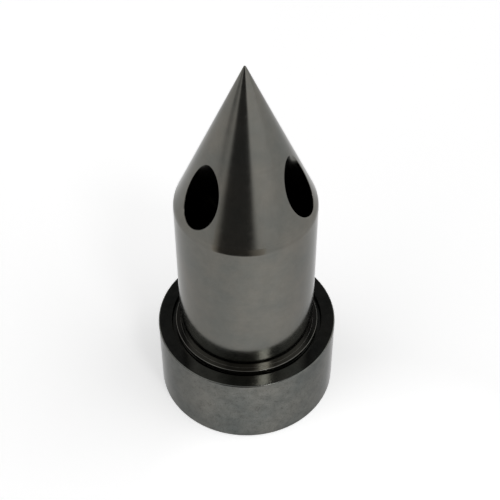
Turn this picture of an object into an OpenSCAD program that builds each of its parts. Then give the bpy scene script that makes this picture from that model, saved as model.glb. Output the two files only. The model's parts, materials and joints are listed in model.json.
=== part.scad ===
// Coolant-fed live center: a pointed sleeve turns on two ball bearings and a
// thrust bearing round a fixed hollow spindle, which stands in a plain collar.
// Units are millimetres, +Z is up the axis of rotation, and the origin is the
// middle of the flat face on which the collar and the base plate stand.

/* [Point] */
// Diameter of the straight part of the revolving point
body_d = 40; // [39.8:0.1:40.4]
// Height at which the straight part would meet the cone in a sharp corner
cone_base_z = 74.2; // [70:0.2:80]
// Included angle of the cone
cone_angle = 46; // [44:1:50]
// Radius that blends the straight part into the cone
shoulder_r = 6; // [2:0.5:8]
// Radius of the very tip
tip_r = 0.4; // [0.2:0.1:1]
// Diameter of the reduced lower end that runs in the neck seal
journal_d = 35; // [34.8:0.1:35.2]
// Height of the step where the body becomes the reduced lower end
step_z = 22.6; // [22.2:0.1:23]
// Diameter of the bead round the foot, which throws off liquid before it reaches the seal
bead_d = 42.8; // [42:0.2:43]
// Height of the top of the bead
bead_top_z = 25.2; // [24.9:0.1:26]

/* [Coolant passages] */
// Number of passages, evenly spaced round the axis
passage_count = 3; // [2:1:3]
// Diameter of each passage
passage_d = 12; // [10:0.5:12.5]
// Angle of each passage above the horizontal
passage_rise = 73.2; // [72:0.2:75]
// Height at which the passage axes meet the axis of rotation
passage_cross_z = 34.5; // [33:0.5:36]
// Direction of the first passage
first_passage = 90; // [0:5:120]

/* [Collar and base] */
// Outer diameter of the collar
collar_d = 53.4; // [53.2:0.2:58]
// Height of the collar
collar_h = 24.8; // [24.4:0.1:25.6]
// Radial gap between the body and the mouth of the collar
mouth_gap = 0.4; // [0.3:0.1:0.4]
// Diameter of the recess in the collar's top face, in which the bead turns
recess_d = 45.2; // [44.4:0.2:46]
// Diameter of the base plate
base_d = 49.8; // [49.6:0.1:50.2]
// Thickness of the base plate
base_h = 8; // [8:0.5:8]

/* [Coolant port] */
// Wall diameter of the tapped port under the spindle
port_d = 13; // [12:0.2:13]
// Depth of the tapped port
port_depth = 13; // [11:0.5:14]
// Diameter of the feed bore up through the spindle
feed_d = 6; // [5:0.5:6]

/* [Ball bearings] */
// Bore of each bearing
bearing_bore = 15; // [15:1:15]
// Outer diameter of each bearing
bearing_od = 28; // [28:1:28]
// Width of each bearing
bearing_w = 7; // [7:0.5:7]
// Diameter of the balls
ball_d = 3.97; // [3.6:0.01:3.98]
// Balls in each bearing
ball_count = 12; // [8:1:13]
// Distance between the two bearings
bearing_gap = 6; // [6:0.5:6]

/* [Thrust bearing] */
// Needle rollers in the thrust bearing
needle_count = 24; // [18:1:26]
// Diameter of the needle rollers
needle_d = 1.9; // [1.8:0.05:1.9]

/* [Fasteners] */
// Cap screws that hold the base plate to the collar
screw_count = 6; // [4:2:6]
// Diameter of the circle on which the screws lie
screw_circle_d = 43; // [43:0.2:43.2]

/* [Hidden] */
$fn = 96;

// Radii that several parts share
body_r = body_d / 2;
journal_r = journal_d / 2;
collar_r = collar_d / 2;
mouth_r = body_r + mouth_gap;
base_r = base_d / 2;
bead_r = bead_d / 2;
recess_r = recess_d / 2;
recess_z = 23.1;
bead_z = recess_z + 0.4;
edge = 0.4;

// Heights up the stack: base plate, thrust bearing, lower bearing, spacers, upper bearing
washer_h = 1;
needle_space = 2;
thrust_z = base_h;
sleeve_z = thrust_z + 2 * washer_h + needle_space;
gland_h = 3.5;
lower_z = sleeve_z + gland_h;
spacer_z = lower_z + bearing_w;
upper_z = spacer_z + bearing_gap;
stack_z = upper_z + bearing_w;
preload_h = 1.5;
lock_washer_h = 1;
locknut_h = 5;
locknut_z = stack_z + lock_washer_h;
spindle_step_z = locknut_z + locknut_h + 0.1;
spindle_top_z = 48;
nut_room_z = spindle_step_z + 0.9;
feed_seal_z = nut_room_z + 0.8;
gallery_z = 47.5;
passage_z = 50;

// Ball bearing proportions
inner_r = bearing_bore / 2;
outer_r = bearing_od / 2;
pitch_r = (inner_r + outer_r) / 2;
ball_r = ball_d / 2;
groove_r = ball_r + 0.066;
inner_land_r = 9.5;
outer_land_r = 12;
shield_t = 0.25;

// Spindle, thrust bearing and gland radii
foot_r = 9.9;
shoulder_post_r = 9.2;
seal_post_r = 5.5;
washer_bore_r = foot_r + 0.08;
washer_r = journal_r;
gland_r = 14.5;
gland_bore_r = 10.4;
nut_r = 11;
nut_room_r = 12;
feed_seal_r = 9.5;
gallery_r = 9;

// Screws, pins and the ledge of the collar that they enter
ledge_r = 19;
ledge_z = 16;
screw_r = 1.5;
screw_head_r = 2.75;
screw_head_h = 3;
screw_len = 10;
head_sink = 0.3;
pin_r = 1.25;
pin_circle_r = 22;
key_screw_r = 1.25;
key_screw_len = 4;

// Turns a half section, drawn as radius and height, round the axis
module turned() {
    rotate_extrude() children();
}

// Square-section ring
module ring(r_in, r_out, z_low, h) {
    turned() translate([r_in, z_low]) square([r_out - r_in, h]);
}

// Copies the children round the axis
module around(count, start = 0) {
    for (i = [0 : count - 1]) rotate([0, 0, start + i * 360 / count]) children();
}

// Round-section ring, such as an O-ring or a garter spring
module torus(r, z, section_r) {
    turned() translate([r, z]) circle(section_r, $fn = 48);
}

// ---- Revolving point ------------------------------------------------------

half_cone = cone_angle / 2;
// The blend arc touches the straight side and the cone
shoulder_z = cone_base_z - shoulder_r * tan(half_cone / 2);
shoulder_arc = [for (i = [0 : 12])
    [body_r - shoulder_r + shoulder_r * cos(half_cone * i / 12),
     shoulder_z + shoulder_r * sin(half_cone * i / 12)]];
// The tip is a small ball inside the cone's sharp apex
apex_z = cone_base_z + body_r / tan(half_cone);
tip_z = apex_z - tip_r / sin(half_cone);

module point_outline() {
    polygon(concat(
        [[0, sleeve_z], [journal_r - edge, sleeve_z], [journal_r, sleeve_z + edge]],
        [[journal_r, step_z], [body_r - edge, step_z], [body_r, step_z + edge], [body_r, bead_z]],
        [[bead_r - 0.2, bead_z], [bead_r, bead_z + 0.2], [bead_r, bead_top_z - edge]],
        [[bead_r - edge, bead_top_z], [body_r, bead_top_z]],
        shoulder_arc,
        [[tip_r * cos(half_cone), tip_z + tip_r * sin(half_cone)]],
        [for (i = [1 : 6]) let (a = half_cone + (90 - half_cone) * i / 6)
            [i == 6 ? 0 : tip_r * cos(a), tip_z + tip_r * sin(a)]]
    ));
}

// Stepped bore from the open lower end up to the coolant gallery
module point_bore() {
    turned() polygon([
        [0, sleeve_z - 1], [gland_r + edge, sleeve_z - 1], [gland_r + edge, sleeve_z],
        [gland_r, sleeve_z + edge], [gland_r, lower_z], [outer_r, lower_z],
        [outer_r, stack_z + preload_h], [nut_room_r, stack_z + preload_h],
        [nut_room_r, nut_room_z], [feed_seal_r, nut_room_z], [feed_seal_r, gallery_z],
        [gallery_r, gallery_z], [gallery_r, passage_z], [0, passage_z + 3]
    ]);
}

// One inclined coolant passage, from the gallery out through the cone
module passage() {
    lean = 90 - passage_rise;
    start = (passage_z - passage_cross_z) / cos(lean);
    translate([0, 0, passage_cross_z]) rotate([0, lean, 0])
        translate([0, 0, start]) cylinder(h = 60, d = passage_d);
}

module point() {
    color([0.46, 0.46, 0.44]) difference() {
        turned() point_outline();
        point_bore();
        around(passage_count, first_passage) passage();
    }
}

// ---- Collar, base plate and their fasteners -------------------------------

// Rows of holes shared by the collar and the base plate
module at_screws() {
    around(screw_count, 30) translate([screw_circle_d / 2, 0, 0]) children();
}

module at_pins() {
    around(2, 0) translate([pin_circle_r, 0, 0]) children();
}

module collar() {
    color([0.42, 0.43, 0.41]) difference() {
        turned() polygon([
            [base_r, 0], [collar_r - edge, 0], [collar_r, edge],
            [collar_r, collar_h - edge + 0.1], [collar_r - edge + 0.1, collar_h],
            [recess_r + 0.2, collar_h], [recess_r, collar_h - 0.2], [recess_r, recess_z],
            [mouth_r, recess_z], [mouth_r, ledge_z], [ledge_r, ledge_z], [ledge_r, base_h],
            [base_r, base_h]
        ]);
        at_screws() translate([0, 0, base_h - 1]) cylinder(h = 7, r = screw_r);
        at_pins() translate([0, 0, base_h - 1]) cylinder(h = 5, r = pin_r);
    }
}

base_ring_z = 5.9;
base_ring_section = 0.6;
spindle_ring_z = 6.4;
spindle_ring_section = 0.5;
port_ring_r = 13.2;
port_ring_section = 0.75;
port_ring_z = 0.9;

module base_plate() {
    color([0.5, 0.5, 0.5]) difference() {
        ring(foot_r, base_r, 0, base_h);
        // Groove in the rim for the base O-ring
        ring(base_r - 1.3, base_r + 1, base_ring_z - 0.9, 1.8);
        // Groove in the bore for the spindle O-ring
        ring(foot_r - 1, foot_r + 1.1, spindle_ring_z - 0.8, 1.6);
        // Groove in the lower face for the port O-ring
        ring(port_ring_r - 1.1, port_ring_r + 1.1, -1, 1.7 + 1);
        at_screws() {
            translate([0, 0, -1]) cylinder(h = base_h + 2, r = screw_r + 0.2);
            translate([0, 0, -1]) cylinder(h = head_sink + screw_head_h + 1, r = screw_head_r + 0.15);
        }
        at_pins() translate([0, 0, 4]) cylinder(h = base_h, r = pin_r);
        key_screw_hole();
    }
}

module base_screws() {
    color([0.16, 0.16, 0.17]) at_screws() difference() {
        union() {
            translate([0, 0, head_sink]) cylinder(h = screw_head_h, r = screw_head_r);
            translate([0, 0, head_sink + screw_head_h]) cylinder(h = screw_len, r = screw_r);
        }
        translate([0, 0, head_sink - 1]) cylinder(h = 2.5, r = 1.45, $fn = 6);
    }
}

module locating_pins() {
    color([0.62, 0.62, 0.63]) at_pins() translate([0, 0, 4.2]) cylinder(h = 7.6, r = pin_r);
}

// The set screw lies half in the spindle and half in the plate, so neither can unscrew
module key_screw_hole() {
    rotate([0, 0, 90]) translate([foot_r, 0, -1]) cylinder(h = 1 + edge + key_screw_len, r = key_screw_r);
}

module spindle_key_screw() {
    color([0.16, 0.16, 0.17]) rotate([0, 0, 90]) translate([foot_r, 0, edge]) difference() {
        cylinder(h = key_screw_len, r = key_screw_r);
        translate([0, 0, -1]) cylinder(h = 2.4, r = 0.7, $fn = 6);
    }
}

module base_o_ring() {
    color([0.07, 0.07, 0.07]) torus(base_r - 0.02 - base_ring_section, base_ring_z, base_ring_section);
}

module spindle_o_ring() {
    color([0.07, 0.07, 0.07])
        torus(foot_r + 0.02 + spindle_ring_section, spindle_ring_z, spindle_ring_section);
}

module port_o_ring() {
    color([0.07, 0.07, 0.07]) torus(port_ring_r, port_ring_z, port_ring_section);
}

// ---- Fixed spindle --------------------------------------------------------

lock_slot_w = 2.4;
lock_slot_depth = 1.2;

module fixed_spindle() {
    color([0.55, 0.55, 0.56]) difference() {
        turned() polygon([
            [port_d / 2 + 0.5, 0], [foot_r, 0], [foot_r, sleeve_z], [shoulder_post_r, sleeve_z],
            [shoulder_post_r, lower_z], [inner_r, lower_z], [inner_r, spindle_step_z],
            [seal_post_r, spindle_step_z], [seal_post_r, spindle_top_z - edge],
            [seal_post_r - edge, spindle_top_z], [feed_d / 2, spindle_top_z],
            [feed_d / 2, port_depth + 2], [port_d / 2, port_depth], [port_d / 2, 0.5]
        ]);
        // Slot for the tab of the lock washer
        rotate([0, 0, 90]) translate([inner_r - lock_slot_depth, -lock_slot_w / 2, stack_z])
            cube([4, lock_slot_w, spindle_step_z - stack_z + 0.01]);
        // Two blind holes for a pin spanner
        around(2) translate([8.2, 0, -1]) cylinder(h = 4, r = 1);
        key_screw_hole();
    }
}

module lock_washer() {
    color([0.45, 0.45, 0.46]) {
        ring(inner_r, nut_r - 0.3, stack_z, lock_washer_h);
        rotate([0, 0, 90]) translate([inner_r - lock_slot_depth + 0.1, -lock_slot_w / 2 + 0.1, stack_z])
            cube([lock_slot_depth + 0.3, lock_slot_w - 0.2, lock_washer_h]);
    }
}

module locknut() {
    color([0.3, 0.3, 0.31]) difference() {
        turned() polygon([
            [inner_r, locknut_z], [nut_r, locknut_z], [nut_r, locknut_z + locknut_h - 0.5],
            [nut_r - 0.5, locknut_z + locknut_h], [inner_r, locknut_z + locknut_h]
        ]);
        around(4) translate([nut_r - 1.2, -1.5, locknut_z - 1]) cube([3, 3, locknut_h + 2]);
    }
}

// ---- Thrust bearing under the sleeve --------------------------------------

needle_mid_z = thrust_z + washer_h + needle_space / 2;
needle_in = 10.9;
needle_len = 6;
needle_slot_gap = 0.06;

module thrust_washer_lower() {
    color([0.6, 0.6, 0.61]) ring(washer_bore_r, washer_r, thrust_z, washer_h);
}

module thrust_washer_upper() {
    color([0.6, 0.6, 0.61]) ring(washer_bore_r, washer_r, sleeve_z - washer_h, washer_h);
}

module thrust_needles() {
    color([0.7, 0.7, 0.71]) around(needle_count) translate([needle_in, 0, needle_mid_z])
        rotate([0, 90, 0]) cylinder(h = needle_len, d = needle_d);
}

module thrust_cage() {
    slot_w = needle_d + 2 * needle_slot_gap;
    slot_len = needle_len + 2 * needle_slot_gap;
    color([0.66, 0.53, 0.28]) difference() {
        ring(needle_in - 0.5, needle_in + needle_len + 0.4, needle_mid_z - 0.6, 1.2);
        around(needle_count) translate([needle_in - needle_slot_gap, -slot_w / 2, needle_mid_z - 1])
            cube([slot_len, slot_w, 2]);
    }
}

// ---- Ball bearings --------------------------------------------------------

// The half section of a race: a square ring with the ball groove cut into it
module race(r_in, r_out, z_low) {
    turned() difference() {
        translate([r_in, z_low]) square([r_out - r_in, bearing_w]);
        translate([pitch_r, z_low + bearing_w / 2]) circle(groove_r, $fn = 96);
    }
}

module inner_ring(z_low) {
    color([0.68, 0.68, 0.7]) race(inner_r, inner_land_r, z_low);
}

module outer_ring(z_low) {
    color([0.68, 0.68, 0.7]) race(outer_land_r, outer_r, z_low);
}

module balls(z_low) {
    color([0.75, 0.75, 0.77]) around(ball_count) translate([pitch_r, 0, z_low + bearing_w / 2])
        sphere(r = ball_r);
}

// One-piece crown cage; its back lies on the far side of the balls from the shield
module ball_cage(z_low, back) {
    color([0.66, 0.53, 0.28]) translate([0, 0, z_low + bearing_w / 2]) mirror([0, 0, back < 0 ? 1 : 0])
        difference() {
            ring(pitch_r - 0.6, pitch_r + 0.6, -1.2, 3.9);
            around(ball_count) translate([pitch_r, 0, 0]) sphere(r = ball_r + 0.06);
        }
}

module shield(z_low) {
    color([0.5, 0.5, 0.51]) ring(inner_land_r + 0.25, outer_land_r, z_low, shield_t);
}

module lower_inner_ring() { inner_ring(lower_z); }
module lower_outer_ring() { outer_ring(lower_z); }
module lower_balls() { balls(lower_z); }
module lower_cage() { ball_cage(lower_z, 1); }
module lower_shield() { shield(lower_z + 0.2); }
module upper_inner_ring() { inner_ring(upper_z); }
module upper_outer_ring() { outer_ring(upper_z); }
module upper_balls() { balls(upper_z); }
module upper_cage() { ball_cage(upper_z, -1); }
module upper_shield() { shield(upper_z + bearing_w - 0.2 - shield_t); }

module inner_spacer() {
    color([0.52, 0.52, 0.53]) ring(inner_r, shoulder_post_r, spacer_z, bearing_gap);
}

module outer_spacer() {
    color([0.52, 0.52, 0.53]) ring(outer_land_r, outer_r, spacer_z, bearing_gap);
}

module bearing_gland() {
    color([0.3, 0.3, 0.31]) difference() {
        ring(gland_bore_r, gland_r, sleeve_z, gland_h);
        // Slots for a spanner
        around(4, 45) translate([gland_bore_r - 1, -1.25, sleeve_z - 1]) cube([2.6, 2.5, 2.5]);
    }
}

// Wavy spring washer that pushes the upper outer ring down
wave_count = 4;
wave_steps = 72;
wave_t = 0.4;
wave_mid_z = stack_z + preload_h / 2;
wave_rise = (preload_h - wave_t) / 2 - 0.03;
function wave_z(a) = wave_mid_z + wave_rise * sin(wave_count * a);

module preload_spring() {
    corners = [[outer_land_r + 0.4, -wave_t / 2], [outer_r - 0.15, -wave_t / 2],
               [outer_r - 0.15, wave_t / 2], [outer_land_r + 0.4, wave_t / 2]];
    points = [for (i = [0 : wave_steps - 1]) let (a = 360 * i / wave_steps)
        for (c = corners) [c[0] * cos(a), c[0] * sin(a), wave_z(a) + c[1]]];
    faces = [for (i = [0 : wave_steps - 1]) for (k = [0 : 3])
        let (j = (i + 1) % wave_steps, m = (k + 1) % 4)
        [4 * i + k, 4 * i + m, 4 * j + m, 4 * j + k]];
    color([0.4, 0.4, 0.42]) polyhedron(points, faces, convexity = 6);
}

// ---- Lip seals ------------------------------------------------------------

// Each seal has a steel case pressed in its bore, a rubber lip bonded inside the
// case and a coiled spring that holds the lip to the shaft.
case_t = 0.6;

module seal_case(shaft_r, bore_r, z_low, h) {
    color([0.5, 0.5, 0.5]) turned() polygon([
        [shaft_r + (bore_r - shaft_r) * 0.45, z_low], [bore_r - 0.2, z_low], [bore_r, z_low + 0.2],
        [bore_r, z_low + h], [bore_r - case_t, z_low + h], [bore_r - case_t, z_low + case_t],
        [shaft_r + (bore_r - shaft_r) * 0.45, z_low + case_t]
    ]);
}

module seal_lip(shaft_r, bore_r, z_low, h) {
    back = shaft_r + (bore_r - shaft_r) * 0.42;
    wall = bore_r - case_t;
    color([0.07, 0.07, 0.07]) turned() difference() {
        polygon([
            [wall, z_low + case_t], [shaft_r + 0.9, z_low + case_t], [shaft_r + 0.06, z_low + h * 0.62],
            [shaft_r + 0.45, z_low + h * 0.9], [back, z_low + h * 0.9], [back, z_low + h * 0.45],
            [back + 0.3, z_low + h * 0.4], [wall, z_low + h * 0.4]
        ]);
        translate([back, z_low + h * 0.66]) circle(0.45, $fn = 48);
    }
}

module seal_spring(shaft_r, bore_r, z_low, h) {
    color([0.6, 0.6, 0.6]) torus(shaft_r + (bore_r - shaft_r) * 0.42, z_low + h * 0.66, 0.42);
}

neck_seal_z = ledge_z;
neck_seal_h = 5.4;
feed_seal_h = gallery_z - feed_seal_z;

module neck_seal_case() { seal_case(journal_r, mouth_r, neck_seal_z, neck_seal_h); }
module neck_seal_lip() { seal_lip(journal_r, mouth_r, neck_seal_z, neck_seal_h); }
module neck_seal_spring() { seal_spring(journal_r, mouth_r, neck_seal_z, neck_seal_h); }
module feed_seal_case() { seal_case(seal_post_r, feed_seal_r, feed_seal_z, feed_seal_h); }
module feed_seal_lip() { seal_lip(seal_post_r, feed_seal_r, feed_seal_z, feed_seal_h); }
module feed_seal_spring() { seal_spring(seal_post_r, feed_seal_r, feed_seal_z, feed_seal_h); }

// ---- The parts ------------------------------------------------------------

point();
collar();
base_plate();
fixed_spindle();
base_screws();
locating_pins();
spindle_key_screw();
base_o_ring();
spindle_o_ring();
port_o_ring();
neck_seal_case();
neck_seal_lip();
neck_seal_spring();
thrust_washer_lower();
thrust_needles();
thrust_cage();
thrust_washer_upper();
bearing_gland();
lower_inner_ring();
lower_outer_ring();
lower_balls();
lower_cage();
lower_shield();
inner_spacer();
outer_spacer();
upper_inner_ring();
upper_outer_ring();
upper_balls();
upper_cage();
upper_shield();
preload_spring();
lock_washer();
locknut();
feed_seal_case();
feed_seal_lip();
feed_seal_spring();
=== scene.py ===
"""Looks of the coolant-fed live center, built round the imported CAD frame.

Metres, +Z up the axis of rotation. Turned pieces are lathed here from their own outlines with
every corner rounded, and holes are cut with exact Booleans. Normals are then taken from the
turned outline and the cutters, so that polished steel shades cleanly right up to each rim.
"""

import json
import math

import bmesh
import bpy
import numpy as np
from mathutils import Matrix, Vector
from mathutils.bvhtree import BVHTree


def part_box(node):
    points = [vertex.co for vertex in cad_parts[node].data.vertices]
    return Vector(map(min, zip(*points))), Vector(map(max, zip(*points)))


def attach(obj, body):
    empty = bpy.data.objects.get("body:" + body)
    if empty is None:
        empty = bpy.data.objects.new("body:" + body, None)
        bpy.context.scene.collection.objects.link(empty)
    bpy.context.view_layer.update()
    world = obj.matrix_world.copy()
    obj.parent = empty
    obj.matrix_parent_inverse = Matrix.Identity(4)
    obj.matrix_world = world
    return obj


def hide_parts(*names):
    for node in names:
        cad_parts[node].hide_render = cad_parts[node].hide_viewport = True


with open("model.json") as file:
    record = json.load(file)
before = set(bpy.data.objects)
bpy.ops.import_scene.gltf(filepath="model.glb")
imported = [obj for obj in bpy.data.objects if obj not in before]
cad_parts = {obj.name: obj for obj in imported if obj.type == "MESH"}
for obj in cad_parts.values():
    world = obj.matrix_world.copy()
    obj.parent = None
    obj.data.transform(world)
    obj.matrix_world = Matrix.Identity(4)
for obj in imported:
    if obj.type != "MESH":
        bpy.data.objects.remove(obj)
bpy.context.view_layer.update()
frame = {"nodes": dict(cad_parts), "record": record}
scene = bpy.context.scene

MM = 0.001
UP = Vector((0, 0, 1))


# ---- Sizes, in millimetres, read from the frame where a node shows them

def span(node):
    low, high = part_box(node)
    return low.z / MM, high.z / MM


def radius_of(node):
    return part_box(node)[1].x / MM


BEAD_R = radius_of("point")
COLLAR_R = radius_of("collar")
COLLAR_H = span("collar")[1]
SLEEVE_Z = span("point")[0]
BASE_R = radius_of("base_plate")
BASE_H = span("base_plate")[1]

CONE_BASE_Z = 74.2
HALF_CONE = math.radians(23)
SHOULDER_R = 6.0
TIP_R = 0.4
TIP_STEPS = 8
JOURNAL_R = radius_of("thrust_washer_upper")
STEP_Z = 22.6
# The sleeve's stepped bore, from the top down: gallery, feed seal, locknut, bearings, gland
GALLERY_R = 9.0
GALLERY_TOP_Z = 49.0
FEED_SEAL_R = 9.5
FEED_SEAL_TOP_Z = 47.5
NUT_SPACE_R = 12.0
NUT_SPACE_TOP_Z = 42.5
OUTER_R = 14.0
BEARINGS_TOP_Z = 37.0
BEARINGS_LOW_Z = 15.5
GLAND_R = 14.5
MOUTH_R = radius_of("neck_seal_case")
BODY_R = MOUTH_R - 0.4
BEAD_Z = 23.5
BEAD_TOP_Z = 25.2
RECESS_R = 22.6
RECESS_Z = 23.1
LEDGE_R = 19.0
LEDGE_Z = span("neck_seal_case")[0]

SCREW_CIRCLE_R = 21.5
SCREW_COUNT = 6
FIRST_SCREW_DEG = 30
SCREW_R = 1.5
PIN_CIRCLE_R = 22.0
PIN_COUNT = 2
PIN_R = 1.25
KEY_R = 1.25
KEY_DEPTH = 4.4

PASSAGE_COUNT = 3
PASSAGE_R = 6.0
PASSAGE_RISE = math.radians(73.2)
PASSAGE_CROSS_Z = 34.5
PASSAGE_ROOT_Z = 50.0
PASSAGE_REACH = 70.0
PASSAGE_SIDES = 192
FIRST_PASSAGE = math.radians(90)
RIM_R = 0.15
RIM_STEPS = 8

# A thread groove's half width and the width of its flank, in parts of a pitch
GROOVE_HALF = 0.44
FLANK = 0.38
# The length of a face along a thread
THREAD_STEP = 0.09

ON_AXIS = 1e-9
STRAIGHT = 1e-4
SAME_PLACE = 1e-6
MOST_CORNER_STEPS = 16


# ---- Objects

def new_mesh(name, verts, faces):
    mesh = bpy.data.meshes.new(name)
    mesh.from_pydata(verts, [], faces)
    return mesh


def add_object(name, data):
    obj = bpy.data.objects.new(name, data)
    scene.collection.objects.link(obj)
    return obj


def mesh_object(name, build):
    """An object from a bmesh."""
    mesh = bpy.data.meshes.new(name)
    build.to_mesh(mesh)
    build.free()
    return add_object(name, mesh)


def tube_object(name, verts, normals, sides, closed):
    """Rings of vertices, sides to a ring, joined in order. Open ends get a cap each."""
    rings = len(verts) // sides
    faces = []
    for j in range(rings if closed else rings - 1):
        k = (j + 1) % rings
        for s in range(sides):
            t = (s + 1) % sides
            faces.append((j * sides + s, j * sides + t, k * sides + t, k * sides + s))
    if not closed:
        faces.append(tuple(reversed(range(sides))))
        faces.append(tuple(range(len(verts) - sides, len(verts))))
    mesh = new_mesh(name, verts, faces)
    build = bmesh.new()
    build.from_mesh(mesh)
    bmesh.ops.recalc_face_normals(build, faces=build.faces)
    build.to_mesh(mesh)
    build.free()
    return set_normals(add_object(name, mesh), normals)


def ring_places(count, radius, first_deg):
    """(x, y) places spread evenly round a circle."""
    angles = [math.radians(first_deg + 360 * i / count) for i in range(count)]
    return [(radius * math.cos(a), radius * math.sin(a)) for a in angles]


SCREW_PLACES = ring_places(SCREW_COUNT, SCREW_CIRCLE_R, FIRST_SCREW_DEG)
PIN_PLACES = ring_places(PIN_COUNT, PIN_CIRCLE_R, 0)


# ---- Turned outlines

def rounded_outline(corners, steps=5):
    """Rounds each corner of a closed outline of (radius, height, corner radius) and returns
    (radius, height, normal r, normal z) rows. The outline runs with the material on its left."""
    rows = []
    count = len(corners)
    for i, (r, z, blend) in enumerate(corners):
        here = Vector((r, z))
        before = Vector(corners[i - 1][:2])
        after = Vector(corners[(i + 1) % count][:2])
        into = (here - before).normalized()
        out = (after - here).normalized()
        n_in = Vector((into.y, -into.x))
        n_out = Vector((out.y, -out.x))
        turn = math.atan2(into.x * out.y - into.y * out.x, into.dot(out))
        if r < ON_AXIS:
            # A corner on the axis stays where it is
            normal = n_in if before.x > ON_AXIS else n_out
            rows.append((0.0, z, 0.0, math.copysign(1.0, normal.y)))
            continue
        if abs(turn) < STRAIGHT or blend <= 0:
            rows.append((r, z, n_in.x, n_in.y))
            continue
        reach = blend * math.tan(abs(turn) / 2)
        start = here - into * reach
        side = 1 if turn > 0 else -1
        middle = start - n_in * blend * side
        pieces = round(steps * abs(turn) / (math.pi / 2)) + 1
        pieces = max(2, min(MOST_CORNER_STEPS, pieces))
        for k in range(pieces + 1):
            a = turn * k / pieces
            n = Vector((n_in.x * math.cos(a) - n_in.y * math.sin(a),
                        n_in.x * math.sin(a) + n_in.y * math.cos(a)))
            p = middle + n * blend * side
            rows.append((p.x, p.y, n.x, n.y))
    return rows


def arc_rows(r, z, size, start, end, steps):
    """Rows along a round bead, from one angle to another."""
    angles = [start + (end - start) * k / steps for k in range(steps + 1)]
    return [(r + size * math.cos(a), z + size * math.sin(a), math.cos(a), math.sin(a))
            for a in angles]


def split_long(rows, longest, thread_r=None):
    """Adds rows along the straight stretches, so that no face is much longer than it is wide.
    A stretch at radius thread_r, which gets a thread, is split into fine steps."""
    out = []
    count = len(rows)
    for i, row in enumerate(rows):
        out.append(row)
        nxt = rows[(i + 1) % count]
        if row[0] < ON_AXIS and nxt[0] < ON_AXIS:
            continue
        gap = math.hypot(nxt[0] - row[0], nxt[1] - row[1])
        threaded = thread_r and all(abs(r - thread_r) < SAME_PLACE for r in (row[0], nxt[0]))
        pieces = int(gap / (THREAD_STEP if threaded else longest)) + 1
        for k in range(1, pieces):
            t = k / pieces
            r = row[0] + (nxt[0] - row[0]) * t
            z = row[1] + (nxt[1] - row[1]) * t
            n = nxt[2:] if row[0] < ON_AXIS else row[2:]
            out.append((r, z, n[0], n[1]))
    return out


def lathe(name, rows, segments):
    """A mesh turned from outline rows in millimetres, with its exact normals on the vertices."""
    verts, normals, faces, loops = [], [], [], []
    turns = [(math.cos(2 * math.pi * k / segments), math.sin(2 * math.pi * k / segments))
             for k in range(segments)]
    for r, z, nr, nz in rows:
        if r < ON_AXIS:
            loops.append([len(verts)] * segments)
            verts.append((0, 0, z * MM))
            normals.append((0, 0, math.copysign(1, nz)))
        else:
            loops.append(list(range(len(verts), len(verts) + segments)))
            verts += [(r * c * MM, r * s * MM, z * MM) for c, s in turns]
            normals += [(nr * c, nr * s, nz) for c, s in turns]
    for i, low in enumerate(loops):
        high = loops[(i + 1) % len(loops)]
        if low[0] == low[1] and high[0] == high[1]:
            continue
        for k in range(segments):
            m = (k + 1) % segments
            if low[0] == low[1]:
                faces.append((low[k], high[m], high[k]))
            elif high[0] == high[1]:
                faces.append((low[k], low[m], high[k]))
            else:
                faces.append((low[k], low[m], high[m], high[k]))
    mesh = new_mesh(name, verts, faces)
    mesh.validate()
    return set_normals(add_object(name, mesh), normals)


def set_normals(obj, vertex_normals):
    mesh = obj.data
    mesh.shade_smooth()
    mesh.normals_split_custom_set_from_vertices(vertex_normals)
    obj["vertex_normals"] = np.array(vertex_normals, float).ravel().tolist()
    return obj


def vertex_normals_of(obj):
    return np.array(obj["vertex_normals"], float).reshape(-1, 3)


def press_thread(obj, radius, low, high, pitch, depth, inside=False):
    """Presses a helical groove into a straight stretch of a turned piece."""
    normals = vertex_normals_of(obj)
    sign, near = 1 if inside else -1, 1e-4
    for i, vertex in enumerate(obj.data.vertices):
        x, y, z = vertex.co / MM
        if abs(math.hypot(x, y) - radius) > near or not low <= z <= high:
            continue
        angle = math.atan2(y, x)
        fade = min(1, (z - low) / pitch, (high - z) / pitch)
        phase = (z / pitch - angle / (2 * math.pi)) % 1 - 0.5
        groove = min(1, max(0, (GROOVE_HALF - abs(phase)) / FLANK))
        slope = 0 if groove in (0, 1) else -math.copysign(1 / FLANK, phase)
        r = radius + sign * depth * fade * groove
        vertex.co = (r * math.cos(angle) * MM, r * math.sin(angle) * MM, z * MM)
        rise = sign * depth * fade * slope
        around = Vector((-math.sin(angle), math.cos(angle), 0))
        n = Vector((math.cos(angle), math.sin(angle), 0))
        n = (n + around * rise / (2 * math.pi * r) - UP * rise / pitch).normalized() * -sign
        normals[i] = n
    set_normals(obj, normals)


def merge(name, parts):
    """Joins copies of pieces, given as (object, matrix) pairs, into one object."""
    verts, faces, normals = [], [], []
    for obj, matrix in parts:
        mesh = obj.data
        first = len(verts)
        turn = matrix.to_3x3()
        verts += [matrix @ v.co for v in mesh.vertices]
        corners = [turn @ c.vector for c in mesh.corner_normals]
        for face in mesh.polygons:
            faces.append([first + i for i in face.vertices])
            normals += [tuple(corners[i]) for i in face.loop_indices]
    for obj in {obj for obj, _ in parts}:
        bpy.data.objects.remove(obj)
    mesh = new_mesh(name, verts, faces)
    mesh.shade_smooth()
    mesh.normals_split_custom_set(normals)
    return add_object(name, mesh)


# ---- Booleans that keep exact normals

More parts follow.
